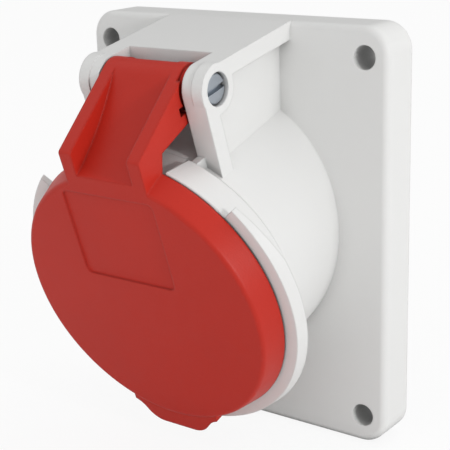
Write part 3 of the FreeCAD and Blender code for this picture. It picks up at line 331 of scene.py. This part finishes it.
def springPath(look):
    # A straight leg from the barrel, then a left-hand helix (r cos a, r sin a, height), where the angle a
    # falls as it climbs, then a leg along the tangent, a quarter bend and a straight hook along the hinge.
    # The second leg is sqrt(d^2 - r^2) long: the tangent from the hook's place, d away, to the coil.
    radius, wire = look["coil"] / 2, look["wire"] / 2
    up, out = socket["hinge"][0] - look["hookAt"][0], look["hookAt"][1] - socket["hinge"][1]
    frontLeg = math.sqrt(up * up + out * out - radius * radius)
    hookTurn = socket["tilt"] + math.degrees(math.atan2(frontLeg, radius) - math.atan2(out, up))
    turns = look["turns"] - (look["legTurn"] + hookTurn) / 360
    half = turns * look["pitch"] / 2
    lean = math.radians(socket["tilt"] + look["legTurn"])
    restUp = math.sqrt(look["barrel"] ** 2 / 4 - half * half) + look["gap"] + wire * math.cos(lean)
    backLeg = (socket["hinge"][0] - radius * math.cos(lean) - restUp) / math.sin(lean)
    start, end = turnedAxes(hingeAxes, -look["legTurn"]), turnedAxes(hingeAxes, hookTurn)
    leg = np.linspace((radius, backLeg, -half), (radius, 0, -half), look["legPoints"])
    share = np.linspace(0, 1, int(turns * look["perTurn"]))[1:-1]
    angle = np.radians(-look["legTurn"] - 360 * turns * share)
    coil = np.stack([radius * np.cos(angle), radius * np.sin(angle), half * (2 * share - 1)], axis=1)
    bend = look["bend"]
    front = np.linspace((radius, 0, half), (radius, bend - frontLeg, half), look["legPoints"])
    quarter = np.radians(np.linspace(0, 90, look["bendPoints"]))[1:]
    corner = np.stack([np.full(len(quarter), radius), bend - frontLeg - bend * np.sin(quarter),
                       half + bend - bend * np.cos(quarter)], axis=1)
    hook = np.linspace((radius, -frontLeg, half + bend), (radius, -frontLeg, look["hookEnd"]),
                       look["hookPoints"])[1:]
    parts = [fromFrame(leg, hingeCentre, start), fromFrame(coil, hingeCentre, hingeAxes)]
    parts += [fromFrame(run, hingeCentre, end) for run in (front, corner, hook)]
    return np.concatenate(parts), end[1]


def wireAlong(path, aside, diameter, sides):
    # A circle carried along the path: point + radius * (cos * side + sin * up), both square to the path. At
    # each end the radius falls as a cosine while the wire runs on by half a radius.
    ahead = np.gradient(path, axis=0)
    ahead /= np.linalg.norm(ahead, axis=1, keepdims=True)
    guide = np.array(aside) / np.linalg.norm(aside)
    side = guide - ahead * (ahead @ guide)[:, None]
    side /= np.linalg.norm(side, axis=1, keepdims=True)
    up = np.cross(ahead, side)
    around = np.linspace(0, 2 * math.pi, sides, endpoint=False)
    radius = diameter / 2
    rim = np.radians((90, 60, 30))
    bulge = radius * 0.5
    first = path[0] - ahead[0] * (bulge * np.sin(rim))[:, None]
    last = path[-1] + ahead[-1] * (bulge * np.sin(rim[::-1]))[:, None]
    centres = np.concatenate([first, path, last])
    size = np.concatenate([np.cos(rim), np.ones(len(path)), np.cos(rim[::-1])]) * radius
    side = np.concatenate([np.repeat(side[:1], len(rim), 0), side, np.repeat(side[-1:], len(rim), 0)])
    up = np.concatenate([np.repeat(up[:1], len(rim), 0), up, np.repeat(up[-1:], len(rim), 0)])
    ring = np.cos(around)[None, :, None] * side[:, None] + np.sin(around)[None, :, None] * up[:, None]
    return centres[:, None] + ring * size[:, None, None]


springRun, legWay = springPath(springWire)
alongHinge = np.array((1.0, 0.0, 0.0))
wireSide = np.cross(legWay, alongHinge) + alongHinge  # never runs along the wire
springGrid = wireAlong(springRun, wireSide, springWire["wire"], springWire["sides"])
newPiece("springCoil", [(springGrid, False, True)], "lid_spring", "frame")

# Gaskets: a soft-cornered section turned about the axis, with a raised bead where the lid's one seals.

lidGasket = {"inside": 28.3, "outside": 31.8, "low": 34.9, "high": 36.7, "bead": -0.26, "corner": 6.0}
flangeGasket = {"inside": 35.0, "outside": 37.8, "low": 0.0, "high": 2.0, "bead": 0.0, "corner": 5.0}
gasketMesh = {"steps": 160, "around": 44}


def gasketGrid(look, origin, axes):
    # Section: |x / a|^n + |y / b|^n = 1, its low side pushed out by bead * cos^8 about the middle. It is
    # turned once round: (radius cos, radius sin, height).
    angle = np.linspace(0, 2 * math.pi, gasketMesh["around"], endpoint=False)
    power = 2 / look["corner"]
    wide, high = (look["outside"] - look["inside"]) / 2, (look["high"] - look["low"]) / 2
    across = np.sign(np.cos(angle)) * np.abs(np.cos(angle)) ** power * wide
    along = np.sign(np.sin(angle)) * np.abs(np.sin(angle)) ** power * high
    along += look["bead"] * (along < 0) * np.cos(across / wide * math.pi / 2) ** 8
    radius = (look["inside"] + look["outside"]) / 2 + across
    height = (look["low"] + look["high"]) / 2 + along
    turn = np.linspace(0, 2 * math.pi, gasketMesh["steps"], endpoint=False)
    grid = np.stack([np.outer(np.cos(turn), radius), np.outer(np.sin(turn), radius),
                     np.outer(np.ones(len(turn)), height)], axis=-1)
    return fromFrame(grid, origin, axes)


backCentre = np.array((0.0, 0.0, socket["origin"][2] - socket["origin"][1] * math.tan(tilt)))
backAxes = np.array([(1, 0, 0), (0, 0, 1), (0, -1, 0)])  # right, up, from the flange's back to the front
lidGrid = gasketGrid(lidGasket, socketOrigin, socketAxes)
flangeGrid = gasketGrid(flangeGasket, backCentre, backAxes)
newPiece("lidGasket", [(lidGrid, True, True)], "lid_seal", "lid")
newPiece("flangeGasket", [(flangeGrid, True, True)], "flange_seal", "frame")

# Turned parts with a slotted head: hinge pin, terminal screws and carrier screws; turnedMesh is shared.

hingePin = {"head": 6.8, "thick": 3.0, "crown": 0.12, "edge": 0.55, "shank": 4.0, "long": 30.6,
            "slotWide": 1.1, "slotDeep": 1.2, "point": 0.5, "thread": 0.0, "pitch": 1.0,
            "headAt": 16.8, "slotTurn": 105}
clampScrew = {"head": 5.8, "thick": 2.4, "crown": 0.22, "edge": 0.5, "shank": 3.5, "long": 4.3,
              "slotWide": 0.9, "slotDeep": 1.0, "point": 0.5, "thread": 0.32, "pitch": 0.6,
              "headAt": -33.7, "pastCircle": 5.2, "slotTurn": 25}
carrierScrew = {"head": 5.2, "thick": 2.2, "crown": 0.3, "edge": 0.55, "shank": 2.9, "long": 17.0,
                "slotWide": 0.8, "slotDeep": 0.9, "point": 0.7, "thread": 0.27, "pitch": 0.7,
                "headAt": -22.2, "fromMiddle": 25.9, "slotTurn": 30}
turnedMesh = {"chords": 15, "points": 41, "slotChords": 3, "slotShare": 0.7,
              "nearSlot": 0.07, "wall": (0.035, 0.012, -0.012, -0.03), "brink": 0.03, "fall": 0.05,
              "rimHigh": 0.35, "rimLow": 0.1, "plainRows": 8, "rowsPerPitch": 9, "runIn": 0.05, "tip": 0.6}


def circleAt(turn, radius, height):  # (radius cos, radius sin, height) at each angle
    return np.stack([np.cos(turn) * radius, np.sin(turn) * radius, np.full(len(turn), height)], axis=-1)


def slottedGrids(look, origin, axes):
    # Head top: rows are chords y, points x = u * sqrt(R^2 - y^2); height = crown * (1 - r^2 / R^2) less a
    # quarter round at the rim, and minus the slot's depth where |y| is under half the slot's width. Rings
    # follow the profile down, and on the shank the radius falls by
    # thread * (1 + cos(turn - 2 pi depth / pitch)) / 2.
    mesh = turnedMesh
    full, slot, edge = look["head"] / 2, look["slotWide"] / 2, look["edge"]
    outer = np.linspace(-1, -(slot + mesh["nearSlot"]) / full, mesh["chords"]) * full
    wall = slot + np.array(mesh["wall"])
    floor = np.linspace(-slot * mesh["slotShare"], slot * mesh["slotShare"], mesh["slotChords"])
    chords = np.concatenate([outer, -wall, floor, wall[::-1], -outer[::-1]])
    share = np.sin(np.linspace(-math.pi / 2, math.pi / 2, mesh["points"]))
    along = np.repeat(chords[:, None], len(share), axis=1)
    across = share[None, :] * np.sqrt(np.maximum(full * full - along * along, 0))
    reach = np.hypot(across, along)
    over = np.clip((reach - (full - edge)) / edge, 0, 1)
    sunk = np.clip((slot + mesh["brink"] - np.abs(along)) / mesh["fall"], 0, 1)
    height = look["crown"] * (1 - (reach / full) ** 2) - edge * (1 - np.sqrt(1 - over * over))
    height = height * (1 - sunk) - look["slotDeep"] * sunk
    top = np.stack([across, along, height], axis=-1)
    loop = np.concatenate([top[:, -1], top[-2:0:-1, 0]])
    turn = np.arctan2(loop[:, 1], loop[:, 0])
    under, shank = -look["thick"], look["shank"] / 2
    rows = mesh["plainRows"]
    if look["thread"]:
        rows = max(int(look["long"] / look["pitch"] * mesh["rowsPerPitch"]), rows)
    deep = np.linspace(mesh["runIn"], look["long"] - look["point"], rows)
    wave = look["thread"] * (1 + np.cos(turn[None, :] - 2 * math.pi * deep[:, None] / look["pitch"])) / 2
    wave *= np.clip(deep[:, None] / look["pitch"], 0, 1)
    threaded = np.stack([np.cos(turn) * (shank - wave), np.sin(turn) * (shank - wave),
                         np.repeat(under - deep[:, None], len(turn), axis=1)], axis=-1)
    rim = [(full, under + mesh["rimHigh"]), (full - mesh["rimLow"], under + mesh["rimLow"]),
           (full - mesh["rimHigh"], under), (shank, under)]
    end = [(shank - look["point"] * mesh["tip"], under - look["long"]), (0.0, under - look["long"])]
    body = np.concatenate([loop[None], [circleAt(turn, *ring) for ring in rim], threaded,
                           [circleAt(turn, *ring) for ring in end]])
    return [(fromFrame(top, origin, axes), False, False), (fromFrame(body, origin, axes), False, True)]


def facingBack(axes, degrees):  # turned by the slot's angle, then half round, so that the head looks back
    across, along, out = turnedAxes(axes, degrees)
    return np.array((across, -along, -out))


pinAxes = turnedAxes(hingeAxes, hingePin["slotTurn"])
pinHead = hingeCentre + pinAxes[2] * hingePin["headAt"]
newPiece("hingePinTurned", slottedGrids(hingePin, pinHead, pinAxes), "hinge_pin", "frame")

terminals = []
for pole in range(socket["poles"]):
    poleAxes = turnedAxes(socketAxes, -90 + 360 * pole / socket["poles"])
    headPlace = np.array((socket["poleCircle"] + clampScrew["pastCircle"], 0, clampScrew["headAt"]))
    terminals += slottedGrids(clampScrew, fromFrame(headPlace, socketOrigin, poleAxes),
                              facingBack(poleAxes, clampScrew["slotTurn"]))
newPiece("terminalScrewSet", terminals, "terminal_screws", "frame")

fixings = []
for side in (-1, 1):
    headPlace = np.array((side * carrierScrew["fromMiddle"], 0, carrierScrew["headAt"]))
    fixings += slottedGrids(carrierScrew, fromFrame(headPlace, socketOrigin, socketAxes),
                            facingBack(socketAxes, carrierScrew["slotTurn"]))
newPiece("carrierScrewSet", fixings, "carrier_screws", "frame")
print("spring, gaskets, pin and screws made")

# Camera: metres and degrees, and the focal length and the frame's width in pixels.

view = {"around": 36.71, "above": 16.50, "roll": -1.67, "away": 0.31283,
        "target": (-0.01065, 0.0, -0.00542), "focal": 1198.47, "frameWidth": 450, "sensor": 36.0,
        "near": 0.01, "far": 20}


def placeCamera(view):
    # It stands away from the target along (sin around * cos above, -cos around * cos above, sin above),
    # looks back at it, and turns about that line by the roll.
    around, above, roll = (math.radians(view[key]) for key in ("around", "above", "roll"))
    level = math.cos(above)
    back = Vector((math.sin(around) * level, -math.cos(around) * level, math.sin(above)))
    right = (-back).cross(Vector((0, 0, 1))).normalized()
    up = right.cross(-back)
    across = right * math.cos(roll) + up * math.sin(roll)
    upright = up * math.cos(roll) - right * math.sin(roll)
    lens = bpy.data.cameras.new("camera")
    lens.sensor_width = view["sensor"]
    lens.lens = view["focal"] * view["sensor"] / view["frameWidth"]
    lens.clip_start = view["near"]
    lens.clip_end = view["far"]
    camera = inScene("camera", lens)
    turn = Matrix((across, upright, back)).transposed().to_4x4()
    camera.matrix_world = Matrix.Translation(Vector(view["target"]) + back * view["away"]) @ turn
    bpy.context.scene.camera = camera


placeCamera(view)

# Studio: a strong lamp on the right, a wide one above and behind, a faint one in front, and a pale fill.

lamps = {
    "sideLamp": {"at": (1.00, -0.22, 0.25), "size": 0.13, "power": 3.0},
    "topLamp": {"at": (0.35, 0.45, 0.95), "size": 0.7, "power": 1.3},
    "frontLamp": {"at": (-0.35, -0.85, 0.60), "size": 0.7, "power": 0.1},
}
roomLight = {"fill": 0.68, "glossy": 0.85}
floorLook = {"colour": (0.9, 0.9, 0.9, 1), "white": 0.90, "height": -0.0503, "size": 6.0}
cardLook = {"dark": 0.75, "at": (-0.44, 0.43, 0.34), "size": 0.62}
white, black = (1, 1, 1, 1), (0, 0, 0, 1)


def facingObject(place):  # at the place, its Z away from the origin, so that a lamp shines on the object
    place = Vector(place)
    return Matrix.Translation(place) @ place.to_track_quat("Z", "Y").to_matrix().to_4x4()


def placeLamp(name, lamp):
    data = bpy.data.lights.new(name, "AREA")
    data.shape = "DISK"
    data.size = lamp["size"]
    data.energy = lamp["power"]
    inScene(name, data).matrix_world = facingObject(lamp["at"])


def lightWorld(room):  # strength: 1 to the camera and through glass, glossy in reflections, fill elsewhere
    world = bpy.data.worlds.new("studio")
    world.use_nodes = True
    world.node_tree.nodes.clear()
    wire = Wire(world.node_tree)
    path = wire.add("ShaderNodeLightPath")
    seen = path.math("MAXIMUM", path.out("Is Camera Ray"), path.out("Is Transmission Ray"))
    mirrored = path.out("Is Glossy Ray") * (room["glossy"] - room["fill"])
    strength = room["fill"] + seen * (1 - room["fill"]) + mirrored
    sky = wire.add("ShaderNodeBackground", None, {"Color": white, "Strength": strength})
    wire.add("ShaderNodeOutputWorld", None, {"Surface": sky})
    bpy.context.scene.world = world


def stageSquare(name, size, height, material):  # a level square about the Z axis
    corners = [(x * size / 2, y * size / 2, height) for x, y in ((-1, -1), (1, -1), (1, 1), (-1, 1))]
    mesh = bpy.data.meshes.new(name)
    mesh.from_pydata(corners, [], [(0, 1, 2, 3)])
    mesh.materials.append(material)
    return inScene(name, mesh)


def rayMix(wire, ray, share, plain, special):  # the plain shader, with a share of the special one for a ray
    path = wire.add("ShaderNodeLightPath")
    both = wire.add("ShaderNodeMixShader", None, {0: path.out(ray) * share, 1: plain, 2: special})
    wire.add("ShaderNodeOutputMaterial", None, {"Surface": both})


def placeFloor(look):  # matt, where the object's shadow falls, and nearly white to the camera
    material, wire = newMaterial("paleFloor")
    matt = wire.add("ShaderNodeBsdfDiffuse", None, {"Color": look["colour"]})
    glow = wire.add("ShaderNodeEmission", None, {"Color": white, "Strength": 1.0})
    rayMix(wire, "Is Camera Ray", look["white"], matt, glow)
    return stageSquare("floor", look["size"], look["height"], material)


def placeCard(look):  # behind, high on the left: dark in reflections, and clear to every other ray
    material, wire = newMaterial("darkCard")
    clear = wire.add("ShaderNodeBsdfTransparent")
    dark = wire.add("ShaderNodeEmission", None, {"Color": black, "Strength": 0.0})
    rayMix(wire, "Is Glossy Ray", look["dark"], clear, dark)
    card = stageSquare("card", look["size"], 0, material)
    card.matrix_world = facingObject(look["at"])
    return card


for lampName, lamp in lamps.items():
    placeLamp(lampName, lamp)
lightWorld(roomLight)
floor, card = placeFloor(floorLook), placeCard(cardLook)
bpy.context.scene.view_settings.view_transform = "Standard"
print("camera, lamps and floor placed")
